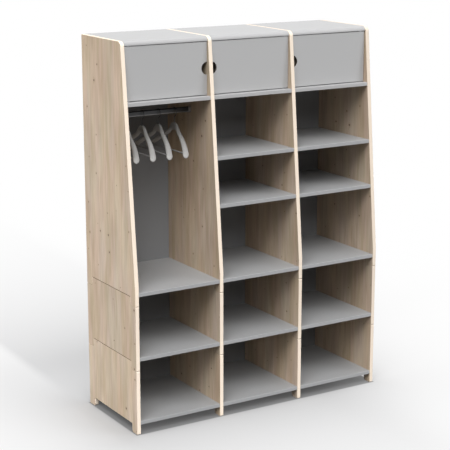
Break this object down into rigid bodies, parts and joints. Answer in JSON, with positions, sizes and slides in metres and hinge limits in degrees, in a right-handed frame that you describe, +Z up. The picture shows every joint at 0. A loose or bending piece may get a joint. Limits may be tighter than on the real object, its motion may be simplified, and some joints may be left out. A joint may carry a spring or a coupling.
{
  "type": "wardrobe",
  "caption": "Open wardrobe with tapered wooden uprights, grey shelves, a clothes rail with hangers and small hinged cupboards along the top.",
  "frame": {"origin": "middle of the footprint, on the floor under the feet", "axes": "+X to the right as seen from the front, +Y to the rear, +Z up; the doors face -Y"},
  "size_m": [1.5084, 0.544, 1.996],
  "materials": {
    "wood_panel": "clear matt lacquer on pale knotty softwood",
    "grey_board": "satin light grey lacquer on fibreboard",
    "back_board": "matt grey lacquer on thin fibreboard",
    "pivot_steel": "bright zinc plated",
    "rail_metal": "satin",
    "hook_wire": "polished",
    "hanger_shell": "satin light grey"
  },
  "bodies": {
    "carcass": {"left_side_lower_panel": "wood_panel", "left_side_middle_panel": "wood_panel", "left_side_upper_panel": "wood_panel", "inner_left_side_lower_panel": "wood_panel", "inner_left_side_middle_panel": "wood_panel", "inner_left_side_upper_panel": "wood_panel", "inner_right_side_lower_panel": "wood_panel", "inner_right_side_middle_panel": "wood_panel", "inner_right_side_upper_panel": "wood_panel", "right_side_lower_panel": "wood_panel", "right_side_middle_panel": "wood_panel", "right_side_upper_panel": "wood_panel", "left_bay_shelf_1": "grey_board", "left_bay_shelf_2": "grey_board", "left_bay_shelf_3": "grey_board", "middle_bay_shelf_1": "grey_board", "middle_bay_shelf_2": "grey_board", "middle_bay_shelf_3": "grey_board", "middle_bay_shelf_4": "grey_board", "middle_bay_shelf_5": "grey_board", "right_bay_shelf_1": "grey_board", "right_bay_shelf_2": "grey_board", "right_bay_shelf_3": "grey_board", "right_bay_shelf_4": "grey_board", "right_bay_shelf_5": "grey_board", "left_back_panel": "back_board", "middle_back_panel": "back_board", "right_back_panel": "back_board", "left_cabinet_floor": "grey_board", "middle_cabinet_floor": "grey_board", "right_cabinet_floor": "grey_board", "left_top_panel": "grey_board", "middle_top_panel": "grey_board", "right_top_panel": "grey_board", "left_door_lower_pivot": "pivot_steel", "left_door_upper_pivot": "pivot_steel", "middle_door_lower_pivot": "pivot_steel", "middle_door_upper_pivot": "pivot_steel", "right_door_lower_pivot": "pivot_steel", "right_door_upper_pivot": "pivot_steel", "clothes_rail": "rail_metal", "rail_left_socket": "rail_metal", "rail_right_socket": "rail_metal"},
    "left_door": {"left_door": "grey_board"},
    "middle_door": {"middle_door": "grey_board"},
    "right_door": {"right_door": "grey_board"},
    "hanger_1_hook": {"hanger_1_hook": "hook_wire"},
    "hanger_1": {"hanger_1_shoulders": "hanger_shell", "hanger_1_bar": "hanger_shell"},
    "hanger_2_hook": {"hanger_2_hook": "hook_wire"},
    "hanger_2": {"hanger_2_shoulders": "hanger_shell", "hanger_2_bar": "hanger_shell"},
    "hanger_3_hook": {"hanger_3_hook": "hook_wire"},
    "hanger_3": {"hanger_3_shoulders": "hanger_shell", "hanger_3_bar": "hanger_shell"},
    "hanger_4_hook": {"hanger_4_hook": "hook_wire"},
    "hanger_4": {"hanger_4_shoulders": "hanger_shell", "hanger_4_bar": "hanger_shell"}
  },
  "joints": [
    {"name": "left_door_hinge", "type": "hinge", "parent": "carcass", "child": "left_door", "pos_m": [-0.70675, -0.1417, 1.83], "axis": [0, 0, -1], "range_deg": [0, 90]},
    {"name": "middle_door_hinge", "type": "hinge", "parent": "carcass", "child": "middle_door", "pos_m": [0.21125, -0.1417, 1.83], "axis": [0, 0, 1], "range_deg": [0, 90]},
    {"name": "right_door_hinge", "type": "hinge", "parent": "carcass", "child": "right_door", "pos_m": [0.70675, -0.1417, 1.83], "axis": [0, 0, 1], "range_deg": [0, 90]},
    {"name": "hanger_1_slide", "type": "slide", "parent": "carcass", "child": "hanger_1_hook", "axis": [1, 0, 0], "range_m": [-0.008, 0.04]},
    {"name": "hanger_1_swivel", "type": "hinge", "parent": "hanger_1_hook", "child": "hanger_1", "pos_m": [-0.63755, 0.023, 1.541], "axis": [0, 0, 1], "range_deg": [-5, 5]},
    {"name": "hanger_2_slide", "type": "slide", "parent": "carcass", "child": "hanger_2_hook", "axis": [1, 0, 0], "range_m": [-0.04, 0.04]},
    {"name": "hanger_2_swivel", "type": "hinge", "parent": "hanger_2_hook", "child": "hanger_2", "pos_m": [-0.54285, 0.023, 1.541], "axis": [0, 0, 1], "range_deg": [-5, 5]},
    {"name": "hanger_3_slide", "type": "slide", "parent": "carcass", "child": "hanger_3_hook", "axis": [1, 0, 0], "range_m": [-0.04, 0.04]},
    {"name": "hanger_3_swivel", "type": "hinge", "parent": "hanger_3_hook", "child": "hanger_3", "pos_m": [-0.44815, 0.023, 1.541], "axis": [0, 0, 1], "range_deg": [-5, 5]},
    {"name": "hanger_4_slide", "type": "slide", "parent": "carcass", "child": "hanger_4_hook", "axis": [1, 0, 0], "range_m": [-0.04, 0.04]},
    {"name": "hanger_4_swivel", "type": "hinge", "parent": "hanger_4_hook", "child": "hanger_4", "pos_m": [-0.35345, 0.023, 1.541], "axis": [0, 0, 1], "range_deg": [-5, 5]}
  ]
}
